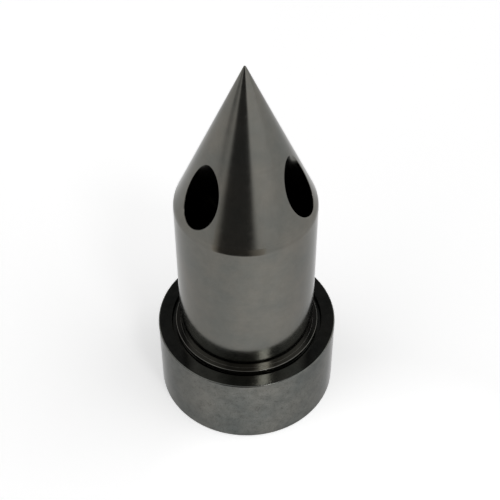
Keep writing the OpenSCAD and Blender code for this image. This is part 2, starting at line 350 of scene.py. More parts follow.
def cut(obj, cutters, flat_cutters=(), walls=False):
    """Takes the cutters out of obj, then gives every corner of the result the normal of the
    surface that it came from: obj's own, or a cutter's turned inside out. Faces left by the
    flat cutters stay flat. With walls, the faces that a cutter left take a second material."""
    sources = []
    for source, sign in [(obj, 1)] + [(c, -1) for c in cutters]:
        mesh = source.data
        mesh.calc_loop_triangles()
        tris = [tuple(t.vertices) for t in mesh.loop_triangles]
        points = [v.co.copy() for v in mesh.vertices]
        sources.append((BVHTree.FromPolygons(points, tris), points, tris,
                        vertex_normals_of(source) * sign))
    for cutter in [*cutters, *flat_cutters]:
        modifier = obj.modifiers.new("cut", "BOOLEAN")
        modifier.operation = "DIFFERENCE"
        modifier.solver = "EXACT"
        modifier.object = cutter
    depsgraph = bpy.context.evaluated_depsgraph_get()
    result = bpy.data.meshes.new_from_object(obj.evaluated_get(depsgraph))
    obj.modifiers.clear()
    clean(result)
    obj.data = result
    for cutter in [*cutters, *flat_cutters]:
        bpy.data.objects.remove(cutter)
    for face in obj.data.polygons:
        face.material_index = 1 if walls and is_wall(face.center, sources) else 0
    transfer_normals(obj, sources)
    return obj


def clean(mesh):
    """Closes the hairline slivers that a Boolean leaves."""
    weld, sliver = 0.003 * MM, 0.001 * MM
    fix = bmesh.new()
    fix.from_mesh(mesh)
    bmesh.ops.remove_doubles(fix, verts=fix.verts, dist=weld)
    bmesh.ops.dissolve_degenerate(fix, edges=fix.edges, dist=sliver)
    bmesh.ops.triangulate(fix, faces=[f for f in fix.faces if len(f.verts) > 4])
    bmesh.ops.dissolve_degenerate(fix, edges=fix.edges, dist=sliver)
    fix.to_mesh(mesh)
    fix.free()


def is_wall(place, sources):
    """Whether a place lies on a cutter's surface rather than on the piece's own."""
    reach, out_of_reach = 0.5 * MM, 1.0
    gaps = [tree.find_nearest(place, reach)[3] for tree, *_ in sources]
    gaps = [out_of_reach if gap is None else gap for gap in gaps]
    return min(gaps[1:]) < gaps[0]


def transfer_normals(obj, sources):
    """Gives each corner, of the normals that the sources near it have there, the one most like
    its face's own, or the face's own where none is like it."""
    mesh = obj.data
    near, least_likeness, no_length = 0.03 * MM, 0.8, 1e-6
    wanted = []
    for face in mesh.polygons:
        for i in face.loop_indices:
            place = mesh.vertices[mesh.loops[i].vertex_index].co
            best, best_likeness = face.normal, least_likeness
            for tree, points, tris, normals in sources:
                found, _, index, _ = tree.find_nearest(place, near)
                if found is None:
                    continue
                a, b, c = tris[index]
                w = barycentric(found, points[a], points[b], points[c])
                n = Vector(normals[a] * w[0] + normals[b] * w[1] + normals[c] * w[2])
                if n.length < no_length:
                    continue
                n.normalize()
                likeness = n.dot(face.normal)
                if likeness > best_likeness:
                    best, best_likeness = n, likeness
            wanted.append(tuple(best))
    mesh.shade_smooth()
    mesh.normals_split_custom_set(wanted)


def barycentric(p, a, b, c):
    """The weights of a triangle's three corners at a place in it."""
    u, v, w = b - a, c - a, p - a
    uu, uv, vv = u.dot(u), u.dot(v), v.dot(v)
    wu, wv = w.dot(u), w.dot(v)
    size = uu * vv - uv * uv
    no_size = 1e-24
    if abs(size) < no_size:
        return (1.0, 0.0, 0.0)
    s = (vv * wu - uv * wv) / size
    t = (uu * wv - uv * wu) / size
    return (1 - s - t, s, t)


def drill(name, x, y, steps, chamfer):
    """A round cutter for a hole, in millimetres. Its (radius, height) steps start at the hole's
    mouth in a flat face, which gets a chamfer, and go inward."""
    mouth_r, mouth_z = steps[0]
    inward = math.copysign(1, steps[-1][1] - mouth_z)
    blend = 0.02
    corners = [(0, mouth_z - inward, 0), (mouth_r + chamfer + 1, mouth_z - inward, blend),
               (mouth_r, mouth_z + inward * chamfer, 0.05)]
    for (r, z), (next_r, _) in zip(steps[1:], [*steps[2:], (0, 0)]):
        corners.append((r, z, blend))
        corners.append((next_r, z, blend if next_r else 0))
    if inward < 0:
        corners.reverse()
    obj = lathe(name, rounded_outline(corners, steps=3), segments=48)
    obj.data.transform(Matrix.Translation((x * MM, y * MM, 0)))
    return obj


def drill_ring(name, places, steps, chamfer):
    return [drill(f"{name}_{i}", *place, steps, chamfer) for i, place in enumerate(places)]


def hexagon(name, radius, z_low, z_high):
    """An upright hexagonal prism, in millimetres, for cutting a socket."""
    build = bmesh.new()
    bmesh.ops.create_cone(build, cap_ends=True, segments=6, radius1=radius * MM,
                          radius2=radius * MM, depth=(z_high - z_low) * MM)
    obj = mesh_object(name, build)
    obj.data.transform(Matrix.Translation((0, 0, (z_low + z_high) / 2 * MM)))
    return obj


def block(name, low, high, turn):
    """A box between two corners, in millimetres, turned about the axis, for cutting a slot."""
    build = bmesh.new()
    bmesh.ops.create_cube(build, size=1)
    obj = mesh_object(name, build)
    low, high = Vector(low) * MM, Vector(high) * MM
    size = Matrix.Diagonal((*(high - low), 1))
    place = Matrix.Translation((low + high) / 2)
    obj.data.transform(Matrix.Rotation(turn, 4, "Z") @ place @ size)
    return obj


# ---- The revolving point

SHOULDER_Z = CONE_BASE_Z - SHOULDER_R * math.tan(HALF_CONE / 2)
APEX_Z = CONE_BASE_Z + BODY_R / math.tan(HALF_CONE)
TIP_Z = APEX_Z - TIP_R / math.sin(HALF_CONE)


def point_outline():
    """Up the outside from the lower end to the tip, then down the stepped bore."""
    cone_end = (TIP_R * math.cos(HALF_CONE), TIP_Z + TIP_R * math.sin(HALF_CONE))
    mouth_chamfer = 0.4
    corner_rows = rounded_outline([
        (GLAND_R + mouth_chamfer, SLEEVE_Z, 0.1), (JOURNAL_R, SLEEVE_Z, 0.4),
        (JOURNAL_R, STEP_Z, 0.2), (BODY_R, STEP_Z, 0.4), (BODY_R, BEAD_Z, 0.1),
        (BEAD_R, BEAD_Z, 0.2), (BEAD_R, BEAD_TOP_Z, 0.2), (BODY_R, BEAD_TOP_Z, 0.05),
        (BODY_R, CONE_BASE_Z, SHOULDER_R), (*cone_end, 0), (0, APEX_Z, 0),
        (0, GALLERY_TOP_Z, 0), (GALLERY_R, GALLERY_TOP_Z, 0.3),
        (GALLERY_R, FEED_SEAL_TOP_Z, 0.1), (FEED_SEAL_R, FEED_SEAL_TOP_Z, 0.1),
        (FEED_SEAL_R, NUT_SPACE_TOP_Z, 0.1), (NUT_SPACE_R, NUT_SPACE_TOP_Z, 0.2),
        (NUT_SPACE_R, BEARINGS_TOP_Z, 0.1), (OUTER_R, BEARINGS_TOP_Z, 0.2),
        (OUTER_R, BEARINGS_LOW_Z, 0.1), (GLAND_R, BEARINGS_LOW_Z, 0.1),
        (GLAND_R, SLEEVE_Z + mouth_chamfer, 0.1),
    ], steps=8)
    rows = []
    for row in corner_rows:
        if row[0] < ON_AXIS and row[1] > GALLERY_TOP_Z:
            # A small ball ends the cone
            rows += arc_rows(0, TIP_Z, TIP_R, HALF_CONE, math.pi / 2, TIP_STEPS)[1:-1]
            rows.append((0, TIP_Z + TIP_R, 0, 1))
        else:
            rows.append(row)
    return rows


def outer_surface(p):
    """How far a place lies outside the point's outer surface, and the surface's normal there."""
    r = math.hypot(p.x, p.y) / MM
    z = p.z / MM
    arc_r, arc_z = BODY_R - SHOULDER_R, SHOULDER_Z
    slope = Vector((math.cos(HALF_CONE), math.sin(HALF_CONE)))
    angle = math.atan2(z - arc_z, r - arc_r)
    if z <= arc_z:
        gap, n = r - BODY_R, Vector((1, 0))
    elif angle < HALF_CONE:
        gap = math.hypot(r - arc_r, z - arc_z) - SHOULDER_R
        n = Vector((math.cos(angle), math.sin(angle)))
    else:
        gap, n = (Vector((r, z)) - Vector((0, APEX_Z))).dot(slope), slope
    around = Vector((p.x, p.y, 0)).normalized() if r > SAME_PLACE else Vector((1, 0, 0))
    return gap, around * n.x + UP * n.y


def skin_distance(base, axis, start):
    """How far along the axis from base the point's outer surface lies, in millimetres."""
    low, high, halvings = start, PASSAGE_REACH, 50
    for _ in range(halvings):
        middle = (low + high) / 2
        if outer_surface(base + axis * middle * MM)[0] < 0:
            low = middle
        else:
            high = middle
    return low


def passage_column(base, axis, away):
    """(place, normal) pairs up one line of a passage's wall, round its rim and out past the
    point's skin. base is where the line meets the plane through the passages' crossing."""
    start = (PASSAGE_ROOT_Z - PASSAGE_CROSS_Z) / math.sin(PASSAGE_RISE)
    rim = base + axis * skin_distance(base, axis, start) * MM
    skin = outer_surface(rim)[1]
    wall = -away
    middle = rim - (skin + wall) * (RIM_R * MM / (1 + skin.dot(wall)))
    bend = wall.angle(skin)
    wall_end = (middle + wall * RIM_R * MM - base).dot(axis)
    column = [(base + axis * start * MM, away)]
    for part in (0.25, 0.5, 0.75):
        column.append((base + axis * (start * MM + (wall_end - start * MM) * part), away))
    # The arc stops just short of the skin, so that the cutter crosses it cleanly
    last = 1 - math.radians(2.5) / bend
    for j in range(RIM_STEPS + 1):
        a = bend * last * j / RIM_STEPS
        n = (wall * math.sin(bend - a) + skin * math.sin(a)) / math.sin(bend)
        column.append((middle + n * RIM_R * MM, -n))
    # Straight on from the arc until clear of the skin, then up and away
    place, normal = column[-1]
    along = wall.cross(skin).cross(-normal).normalized()
    if along.dot(away) < 0:
        along = -along
    clear, rise = 0.9 * MM, 30 * MM
    column.append((place + along * clear, normal))
    column.append((column[-1][0] + axis * rise, away))
    return column


def passage_cutter(name, direction):
    """One coolant passage as a tube whose mouth follows the cone, with a rounded rim."""
    outward = Vector((math.cos(direction), math.sin(direction), 0))
    axis = outward * math.cos(PASSAGE_RISE) + UP * math.sin(PASSAGE_RISE)
    side = UP.cross(outward)
    other = axis.cross(side)
    columns = []
    for k in range(PASSAGE_SIDES):
        t = 2 * math.pi * k / PASSAGE_SIDES
        away = side * math.cos(t) + other * math.sin(t)
        base = UP * PASSAGE_CROSS_Z * MM + away * PASSAGE_R * MM
        columns.append(passage_column(base, axis, away))
    pairs = [pair for ring in zip(*columns) for pair in ring]
    verts = [place for place, _ in pairs]
    normals = [tuple(normal) for _, normal in pairs]
    return tube_object(name, verts, normals, PASSAGE_SIDES, closed=False)


def make_point():
    obj = lathe("point_body", split_long(point_outline(), longest=1.6), segments=256)
    cutters = [passage_cutter(f"passage_{i}", FIRST_PASSAGE + i * 2 * math.pi / PASSAGE_COUNT)
               for i in range(PASSAGE_COUNT)]
    return cut(obj, cutters, walls=True)


# ---- The collar

def make_collar():
    rows = rounded_outline([
        (BASE_R, 0, 0.15), (COLLAR_R, 0, 0.4), (COLLAR_R, COLLAR_H, 0.45),
        (RECESS_R, COLLAR_H, 0.2), (RECESS_R, RECESS_Z, 0.3), (MOUTH_R, RECESS_Z, 0.1),
        (MOUTH_R, LEDGE_Z, 0.1), (LEDGE_R, LEDGE_Z, 0.15), (LEDGE_R, BASE_H, 0.15),
        (BASE_R, BASE_H, 0.1),
    ])
    obj = lathe("collar_ring", split_long(rows, longest=2.0), segments=288)
    screw_end_z, pin_end_z = 14, 12
    cutters = drill_ring("screw", SCREW_PLACES, [(SCREW_R, BASE_H), (SCREW_R, screw_end_z)], 0.3)
    cutters += drill_ring("pin", PIN_PLACES, [(PIN_R, BASE_H), (PIN_R, pin_end_z)], 0.2)
    return cut(obj, cutters)


# ---- Materials

class Graph:
    """Short ways to build the node tree of a material or a world."""

    def __init__(self, owner):
        owner.use_nodes = True
        self.nodes = owner.node_tree.nodes
        self.link = owner.node_tree.links.new

    def fill(self, node, inputs):
        """Gives inputs their values, each a constant or another node's output."""
        for socket, value in inputs.items():
            if isinstance(value, bpy.types.NodeSocket):
                self.link(value, node.inputs[socket])
            else:
                node.inputs[socket].default_value = value

    def add(self, kind, inputs, **settings):
        node = self.nodes.new("ShaderNode" + kind)
        for key, value in settings.items():
            setattr(node, key, value)
        self.fill(node, inputs)
        return node.outputs

    def noise(self, vector, scale, detail, roughness):
        inputs = {"Vector": vector, "Scale": scale, "Detail": detail, "Roughness": roughness}
        return self.add("TexNoise", inputs)["Fac"]

    def ramp(self, value, low, high, out_low, out_high, **settings):
        inputs = {"Value": value, "From Min": low, "From Max": high, "To Min": out_low,
                  "To Max": out_high}
        return self.add("MapRange", inputs, **settings)["Result"]

    def total(self, *values):
        result = values[0]
        for value in values[1:]:
            result = self.add("Math", {0: result, 1: value}, operation="ADD")[0]
        return result

    def place(self):
        return self.add("TexCoord", {})["Object"]

    def measure(self, operation, *vectors):
        """One number from vectors, such as a length or a dot product."""
        return self.add("VectorMath", dict(enumerate(vectors)), operation=operation)["Value"]

    def mix(self, factor, low, high, **settings):
        return self.add("Mix", {"Factor": factor, "A": low, "B": high}, **settings)["Result"]

    def bump(self, height, strength, distance):
        inputs = {"Height": height, "Strength": strength, "Distance": distance}
        return self.add("Bump", inputs)[0]


def new_material(name):
    material = bpy.data.materials.new(name)
    graph = Graph(material)
    return material, graph, graph.nodes["Principled BSDF"]


# Most of a noise's values lie between these two
NOISE_LOW = 0.3
NOISE_HIGH = 0.7
# Noise scales: lathe rings, clouds, mottling, specks and the grain of rubber
RING_SCALE = 2600
CLOUD_SCALE = 75
PATCH_SCALE = 430
DUST_SCALE = 2300
GRAIN_SCALE = 2500


def steel(name, color, rough=0.25, marks=0.25, stains=0.12, anisotropy=0.5, mottle=0.06,
          specks=0.1, tint=0.85):
    """Turned steel: fine rings from the lathe, clouds that drift from cool to warm, mottling,
    small dark specks, and roughness that follows them all."""
    material, graph, shader = new_material(name)
    place = graph.place()
    # Lathe marks follow the radius and the height
    split = graph.add("SeparateXYZ", {0: place})
    flat = graph.add("CombineXYZ", {"X": split["X"], "Y": split["Y"]})[0]
    radius = graph.measure("LENGTH", flat)
    turned = graph.add("CombineXYZ", {"X": radius, "Y": split["Z"]})[0]
    rings = graph.noise(turned, RING_SCALE, detail=3.0, roughness=0.7)
    clouds = graph.noise(place, CLOUD_SCALE, detail=5.0, roughness=0.6)
    patches = graph.noise(place, PATCH_SCALE, detail=3.0, roughness=0.55)
    dust = graph.noise(place, DUST_SCALE, detail=2.0, roughness=0.5)
    cool, warm = (0.96, 1.0, 1.01), (1.04, 1.0, 0.96)
    darker = (*[c * t * (1 - stains) for c, t in zip(color, cool)], 1)
    lighter = (*[c * t * (1 + stains) for c, t in zip(color, warm)], 1)
    base = graph.mix(graph.ramp(clouds, NOISE_LOW, NOISE_HIGH, 0, 1), darker, lighter,
                     data_type="RGBA")
    shade = graph.total(
        graph.ramp(patches, NOISE_LOW, NOISE_HIGH, 1 - mottle, 1 + mottle),
        graph.ramp(rings, NOISE_LOW, NOISE_HIGH, -0.04, 0.04),
        graph.ramp(dust, 0.54, 0.7, 0, -specks))
    roughness = graph.total(
        graph.ramp(rings, NOISE_LOW, NOISE_HIGH, -0.12 * rough, 0.12 * rough),
        graph.ramp(patches, NOISE_LOW, NOISE_HIGH, 0.88 * rough, 1.12 * rough),
        graph.ramp(dust, 0.6, 0.72, 0, 0.5 * rough))
    graph.fill(shader, {
        "Metallic": 1.0,
        "Anisotropic": anisotropy,
        "Specular Tint": (tint, tint, tint, 1),
        "Tangent": graph.add("Tangent", {}, direction_type="RADIAL", axis="Z")[0],
        "Base Color": graph.add("VectorMath", {0: base, "Scale": shade},
                                operation="SCALE")["Vector"],
        "Roughness": roughness,
        "Normal": graph.bump(rings, marks, 0.02 * MM),
    })
    return material


def rubber(name):
    material, graph, shader = new_material(name)
    grain = graph.noise(graph.place(), GRAIN_SCALE, detail=4.0, roughness=0.6)
    graph.fill(shader, {
        "Metallic": 0.0,
        "Specular IOR Level": 0.35,
        "Base Color": graph.mix(grain, (0.006, 0.006, 0.006, 1), (0.02, 0.02, 0.019, 1),
                                data_type="RGBA"),
        "Roughness": graph.ramp(grain, NOISE_LOW, NOISE_HIGH, 0.45, 0.7),
        "Normal": graph.bump(grain, 0.3, 0.03 * MM),
    })
    return material


STEELS = {
    "point_steel": dict(color=(0.132, 0.130, 0.119), rough=0.15, marks=0.05, stains=0.08,
                        anisotropy=0.3, mottle=0.05, specks=0.06, tint=0.75),
    "bored_steel": dict(color=(0.32, 0.30, 0.27), rough=0.5, marks=0.3, stains=0.15,
                        anisotropy=0.2, mottle=0.12),
    "collar_steel": dict(color=(0.125, 0.128, 0.121), rough=0.14, marks=0.12, stains=0.16,
                         anisotropy=0.4, mottle=0.15, specks=0.3, tint=0.6),
    "plate_steel": dict(color=(0.2, 0.2, 0.195), rough=0.3, marks=0.5, anisotropy=0.7),
    "spindle_steel": dict(color=(0.26, 0.26, 0.255), rough=0.22),
    "black_screws": dict(color=(0.03, 0.03, 0.033), rough=0.4, marks=0.1),
    "pin_steel": dict(color=(0.35, 0.35, 0.36), rough=0.18),
    "seal_case_steel": dict(color=(0.22, 0.22, 0.215), rough=0.38),
    "spring_steel": dict(color=(0.25, 0.25, 0.25), rough=0.25, marks=0.05),
    "bearing_steel": dict(color=(0.42, 0.42, 0.43), rough=0.12, marks=0.1),
    "shield_steel": dict(color=(0.3, 0.3, 0.3), rough=0.3),
    "spacer_steel": dict(color=(0.26, 0.26, 0.26), rough=0.28),
    "blackened_steel": dict(color=(0.04, 0.04, 0.043), rough=0.4),
    "ball_steel": dict(color=(0.5, 0.5, 0.51), rough=0.06, marks=0.02, anisotropy=0.0,
                       mottle=0.02, specks=0.03),
    "cage_brass": dict(color=(0.5, 0.33, 0.12), rough=0.28),
}
MATERIALS = {name: steel(name, **look) for name, look in STEELS.items()}
MATERIALS["seal_rubber"] = rubber("seal_rubber")


def dress(obj, *slots):
    """Gives a piece or a CAD node its materials."""
    obj.data.materials.clear()
    for slot in slots:
        obj.data.materials.append(MATERIALS[slot])


# ---- Putting pieces in place of CAD nodes

SLOTS = {row["node"]: row["material_slot"] for row in frame["record"]["subparts"]}
BODY_OF = {node: body for body, nodes in frame["record"]["behaviour"]["bodies"].items()
           for node in nodes}
for node_name, node_object in frame["nodes"].items():
    dress(node_object, SLOTS[node_name])


def stand_for(obj, node, *more_slots):
    """obj replaces one CAD node: it rides on that node's body and takes that node's finish."""
    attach(obj, BODY_OF[node])
    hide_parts(node)
    dress(obj, SLOTS[node], *more_slots)
    obj.pop("vertex_normals", None)


def square_ring(r_in, node, blend):
    """Corners of a plain ring of square section that fills a CAD node's height and width."""
    low, high = span(node)
    r_out = radius_of(node)
    return [(r_in, low, blend), (r_out, low, blend), (r_out, high, blend), (r_in, high, blend)]


def arc_corners(r, z, size, start, end):
    """Sharp corners along a round groove, from one angle to another."""
    return [(*row[:2], 0) for row in arc_rows(r, z, size, start, end, steps=14)]


def turned_piece(name, corners, segments=128, longest=2.0, groove=None, thread_r=None):
    """Lathes an outline. groove is the (radius, height, size) of a hollow arc in it, and
    thread_r the radius of a stretch that gets a thread."""
    rows = rounded_outline(corners, steps=4)
    if groove:
        r0, z0, size = groove
        for i, (r, z, _, _) in enumerate(rows):
            if abs(math.hypot(r - r0, z - z0) - size) < SAME_PLACE:
                rows[i] = (r, z, (r0 - r) / size, (z0 - z) / size)
    return lathe(name, split_long(rows, longest, thread_r), segments)


def copies(count, start=0.0):
    return [Matrix.Rotation(start + 2 * math.pi * k / count, 4, "Z") for k in range(count)]


stand_for(make_point(), "point", "bored_steel")
stand_for(make_collar(), "collar")


# ---- Base plate, spindle and their fasteners

FOOT_R = 9.9
BORE_R = 7.5
NECK_R = 5.5
PORT_R = 6.5
WASHER_Z = span("thrust_washer_upper")[1]


def make_base_plate():
    port_in, port_out, port_top = 12.1, 14.3, 1.7
    cord_r, cord_low, cord_high = BASE_R - 1.3, 5.0, 6.8
    foot_cord_r, foot_cord_low, foot_cord_high = 11.0, 5.6, 7.2
    obj = turned_piece("base_disc", [
        (FOOT_R, 0, 0.25), (port_in, 0, 0.15), (port_in, port_top, 0.2),
        (port_out, port_top, 0.2), (port_out, 0, 0.15), (BASE_R, 0, 0.2),
        (BASE_R, cord_low, 0.1), (cord_r, cord_low, 0.2), (cord_r, cord_high, 0.2),
        (BASE_R, cord_high, 0.1), (BASE_R, BASE_H, 0.2), (FOOT_R, BASE_H, 0.2),
        (FOOT_R, foot_cord_high, 0.1), (foot_cord_r, foot_cord_high, 0.2),
        (foot_cord_r, foot_cord_low, 0.2), (FOOT_R, foot_cord_low, 0.1)], segments=192)
    head_hole_r, head_hole_h, shank_hole_r = 2.9, 3.3, 1.7
    past_top, pin_end_z = 9, 4
    steps = [(head_hole_r, 0), (head_hole_r, head_hole_h), (shank_hole_r, past_top)]
    cutters = drill_ring("counterbore", SCREW_PLACES, steps, 0.15)
    cutters += drill_ring("dowel", PIN_PLACES, [(PIN_R, BASE_H), (PIN_R, pin_end_z)], 0.1)
    cutters.append(key_cutter("key_hole"))
    return cut(obj, cutters)


def key_cutter(name):
    """The hole for the key screw, half in the base plate and half in the spindle."""
    return drill(name, 0, FOOT_R, [(KEY_R, 0), (KEY_R, KEY_DEPTH)], chamfer=0.1)


def make_spindle():
    low, top = span("fixed_spindle")
    nut_top = span("locknut")[1] + 0.1
    port_chamfer, port_end_z, feed_r, feed_low = 0.5, 13.0, 3.0, 15.0
    shoulder_r = 9.2
    obj = turned_piece("spindle_post", [
        (PORT_R + port_chamfer, low, 0.1), (FOOT_R, low, 0.25), (FOOT_R, WASHER_Z, 0.3),
        (shoulder_r, WASHER_Z, 0.1), (shoulder_r, BEARINGS_LOW_Z, 0.2),
        (BORE_R, BEARINGS_LOW_Z, 0.15), (BORE_R, nut_top, 0.25), (NECK_R, nut_top, 0.1),
        (NECK_R, top, 0.4), (feed_r, top, 0.3), (feed_r, feed_low, 0.2),
        (PORT_R, port_end_z, 0.1), (PORT_R, port_chamfer, 0.05)], thread_r=PORT_R)
    press_thread(obj, PORT_R, low=0.4, high=11.6, pitch=1.0, depth=0.5, inside=True)
    cutters = [drill(f"spanner_{side}", 8.2 * side, 0, [(1.0, 0), (1.0, 3)], chamfer=0.1)
               for side in (-1, 1)]
    cutters.append(key_cutter("key_half"))
    slot = block("washer_slot", (6.3, -1.2, span("lock_washer")[0]), (10, 1.2, nut_top + 0.01),
                 math.pi / 2)
    return cut(obj, cutters, [slot])


def make_screw(name, head_r, head_h, r, length, hex_r, hex_depth, z, pitch):
    """A socket screw that points up from z. A set screw has no head."""
    if head_h:
        corners = [(0, z, 0), (head_r, z, 0.3), (head_r, z + head_h, 0.15), (r, z + head_h, 0.1)]
    else:
        corners = [(0, z, 0), (r, z, 0.15)]
    top = z + head_h + length
    corners += [(r, top, 0.2), (0, top, 0)]
    obj = turned_piece(name, corners, segments=48, longest=1.0, thread_r=r)
    plain_end, depth = 0.2, pitch * 0.55
    press_thread(obj, r, z + head_h + plain_end, top - plain_end, pitch, depth)
    return cut(obj, [], [hexagon("socket", hex_r, z - 1, z + hex_depth)])


def make_base_screws():
    screw = make_screw("cap_screw", head_r=2.75, head_h=3.0, r=SCREW_R, length=10.0,
                       hex_r=1.45, hex_depth=1.5, z=0.3, pitch=0.5)
    out = Matrix.Translation((SCREW_CIRCLE_R * MM, 0, 0))
    turns = copies(SCREW_COUNT, math.radians(FIRST_SCREW_DEG))
    return merge("cap_screws", [(screw, m @ out) for m in turns])


def make_pins():
    low, high = span("locating_pins")
    pin = turned_piece("pin", [(0, low, 0), (PIN_R, low, 0.35), (PIN_R, high, 0.35),
                               (0, high, 0)], segments=48, longest=1.0)
    out = Matrix.Translation((PIN_CIRCLE_R * MM, 0, 0))
    return merge("dowels", [(pin, m @ out) for m in copies(PIN_COUNT)])


def make_key_screw():
    screw = make_screw("set_screw", head_r=0, head_h=0, r=KEY_R, length=4.0,
                       hex_r=0.7, hex_depth=1.4, z=0.4, pitch=0.45)
    return merge("key_screw", [(screw, Matrix.Translation((0, FOOT_R * MM, 0)))])


def make_o_ring(node):
    low, high = span(node)
    size = (high - low) / 2
    r = radius_of(node) - size
    rows = arc_rows(r, low + size, size, 0, 2 * math.pi, steps=24)[:-1]
    return lathe(node + "_cord", rows, segments=160)


stand_for(make_base_plate(), "base_plate")
stand_for(make_spindle(), "fixed_spindle")
stand_for(make_base_screws(), "base_screws")
stand_for(make_pins(), "locating_pins")
stand_for(make_key_screw(), "spindle_key_screw")
for o_ring in ("base_o_ring", "spindle_o_ring", "port_o_ring"):
    stand_for(make_o_ring(o_ring), o_ring)


# ---- Lip seals

def make_seal(prefix, shaft_r):
    """A seal of three pieces: a pressed case, the lip bonded in it, and its garter spring."""
    low, high = span(prefix + "_case")
    bore_r = radius_of(prefix + "_case")
    h = high - low
    gap = bore_r - shaft_r
    sheet = 0.6
    inner = shaft_r + gap * 0.45
    wall, floor_z = bore_r - sheet, low + sheet
    case = turned_piece(prefix + "_shell", [
        (inner, low, 0.15), (bore_r, low, 0.55), (bore_r, high, 0.15), (wall, high, 0.15),
        (wall, floor_z, 0.1), (inner, floor_z, 0.15)], segments=192)
    back = shaft_r + gap * 0.42
    seat_z, seat_size, wire_size = low + h * 0.66, 0.45, 0.42
    lip_gap = 0.06
    seat = arc_corners(back, seat_z, seat_size, -math.pi / 2, -1.5 * math.pi)
    lip = turned_piece(prefix + "_rubber", [
        (wall, floor_z, 0.05), (wall, low + h * 0.4, 0.1), (back + 0.3, low + h * 0.4, 0.2),
        (back, low + h * 0.45, 0.1), *seat, (back, low + h * 0.9, 0.1),
        (shaft_r + 0.45, low + h * 0.9, 0.15), (shaft_r + lip_gap, low + h * 0.62, 0.06),
        (shaft_r + 0.9, floor_z, 0.1)], segments=192, groove=(back, seat_z, seat_size))
    stand_for(case, prefix + "_case")
    stand_for(lip, prefix + "_lip")
    stand_for(make_garter(prefix + "_coil", back, seat_z, wire_size), prefix + "_spring")


def make_garter(name, r, z, size):
    """A close-wound spring bent into a ring."""
    wire, pitch = 0.13, 2.2
    turns = round(2 * math.pi * r / (wire * pitch))
    steps, sides = 8, 5
    count = turns * steps
    path = size - wire
    verts, normals = [], []
    for k in range(count):
        a = 2 * math.pi * k / count
        b = 2 * math.pi * k / steps
        out = Vector((math.cos(a), math.sin(a), 0))
        spoke = out * math.cos(b) + UP * math.sin(b)
        middle = out * r + UP * z + spoke * path
        along = (UP * math.cos(b) - out * math.sin(b)).normalized()
        side = spoke.cross(along)
        for s in range(sides):
            c = 2 * math.pi * s / sides
            n = spoke * math.cos(c) + side * math.sin(c)
            verts.append((middle + n * wire) * MM)
            normals.append(tuple(n))
    return tube_object(name, verts, normals, sides, closed=True)


make_seal("neck_seal", JOURNAL_R)
make_seal("feed_seal", NECK_R)


# ---- Bearings and what clamps them

PITCH_R = 10.75
GROOVE_R = 2.051
INNER_LAND_R = 9.5
OUTER_LAND_R = 12.0
BALL_COUNT = 12
BALL_STEPS = 16
NEEDLE_IN = 10.9
NEEDLE_LENGTH = 6
NEEDLE_COUNT = 24
RING_THREAD = {"pitch": 1.0, "depth": 0.5}
SLOT_COUNT = 4


def make_race(node, inner):
    """One ring of a ball bearing, with its round groove for the balls."""
    low, high = span(node)
    middle = (low + high) / 2
    half = math.acos((PITCH_R - INNER_LAND_R) / GROOVE_R)
    if inner:
        arc = arc_corners(PITCH_R, middle, GROOVE_R, math.pi + half, math.pi - half)
        corners = [(BORE_R, low, 0.4), (INNER_LAND_R, low, 0.2), *arc,
                   (INNER_LAND_R, high, 0.2), (BORE_R, high, 0.4)]
    else:
        arc = arc_corners(PITCH_R, middle, GROOVE_R, half, -half)
        corners = [(OUTER_LAND_R, low, 0.2), (OUTER_R, low, 0.4), (OUTER_R, high, 0.4),
                   (OUTER_LAND_R, high, 0.2), *arc]
    return turned_piece(node + "_race", corners, groove=(PITCH_R, middle, GROOVE_R))


def ball(name, radius):
    side = arc_rows(0, 0, radius, -math.pi / 2, math.pi / 2, BALL_STEPS)[1:-1]
    rows = [(0, -radius, 0, -1), *side, (0, radius, 0, 1)]
    return lathe(name, rows, segments=2 * BALL_STEPS)


def make_balls(node):
    low, high = span(node)
    out = Matrix.Translation((PITCH_R * MM, 0, (low + high) / 2 * MM))
    one = ball("ball", (high - low) / 2)
    return merge(node + "_set", [(one, m @ out) for m in copies(BALL_COUNT)])


def make_ball_cage(node, balls):
    low, high = span(node)
    middle = sum(span(balls)) / 2
    r_in, r_out, pocket_r = PITCH_R - 0.6, PITCH_R + 0.6, 2.045
    corners = [(r_in, low, 0.15), (r_out, low, 0.15), (r_out, high, 0.15), (r_in, high, 0.15)]
    obj = turned_piece(node + "_crown", corners, segments=192, longest=1.0)
    pockets = []
    for i, m in enumerate(copies(BALL_COUNT)):
        pocket = ball(f"pocket_{i}", pocket_r)
        place = m @ Matrix.Translation((PITCH_R * MM, 0, middle * MM))
        pocket.data.transform(place)
        turn = np.array(m.to_3x3())
        pocket["vertex_normals"] = (vertex_normals_of(pocket) @ turn.T).ravel().tolist()
        pockets.append(pocket)
    return cut(obj, pockets)


def make_needles():
    low, high = span("thrust_needles")
    r = (high - low) / 2
    end = NEEDLE_IN + NEEDLE_LENGTH
    corners = [(0, NEEDLE_IN, 0), (r, NEEDLE_IN, 0.3), (r, end, 0.3), (0, end, 0)]
    needle = turned_piece("needle", corners, segments=32, longest=1.5)
    lay = Matrix.Translation((0, 0, (low + high) / 2 * MM)) @ Matrix.Rotation(math.pi / 2, 4, "Y")
    return merge("needle_rollers", [(needle, m @ lay) for m in copies(NEEDLE_COUNT)])


def make_thrust_cage():
    middle = sum(span("thrust_cage")) / 2
    obj = turned_piece("needle_cage", square_ring(NEEDLE_IN - 0.5, "thrust_cage", 0.12),
                       segments=192)
    play, half_width = 0.06, 1.01
    corner = (NEEDLE_IN - play, -half_width, middle - 1)
    far_corner = (NEEDLE_IN + NEEDLE_LENGTH + play, half_width, middle + 1)
    slots = [block(f"slot_{i}", corner, far_corner, 2 * math.pi * i / NEEDLE_COUNT)
             for i in range(NEEDLE_COUNT)]
    return cut(obj, [], slots)


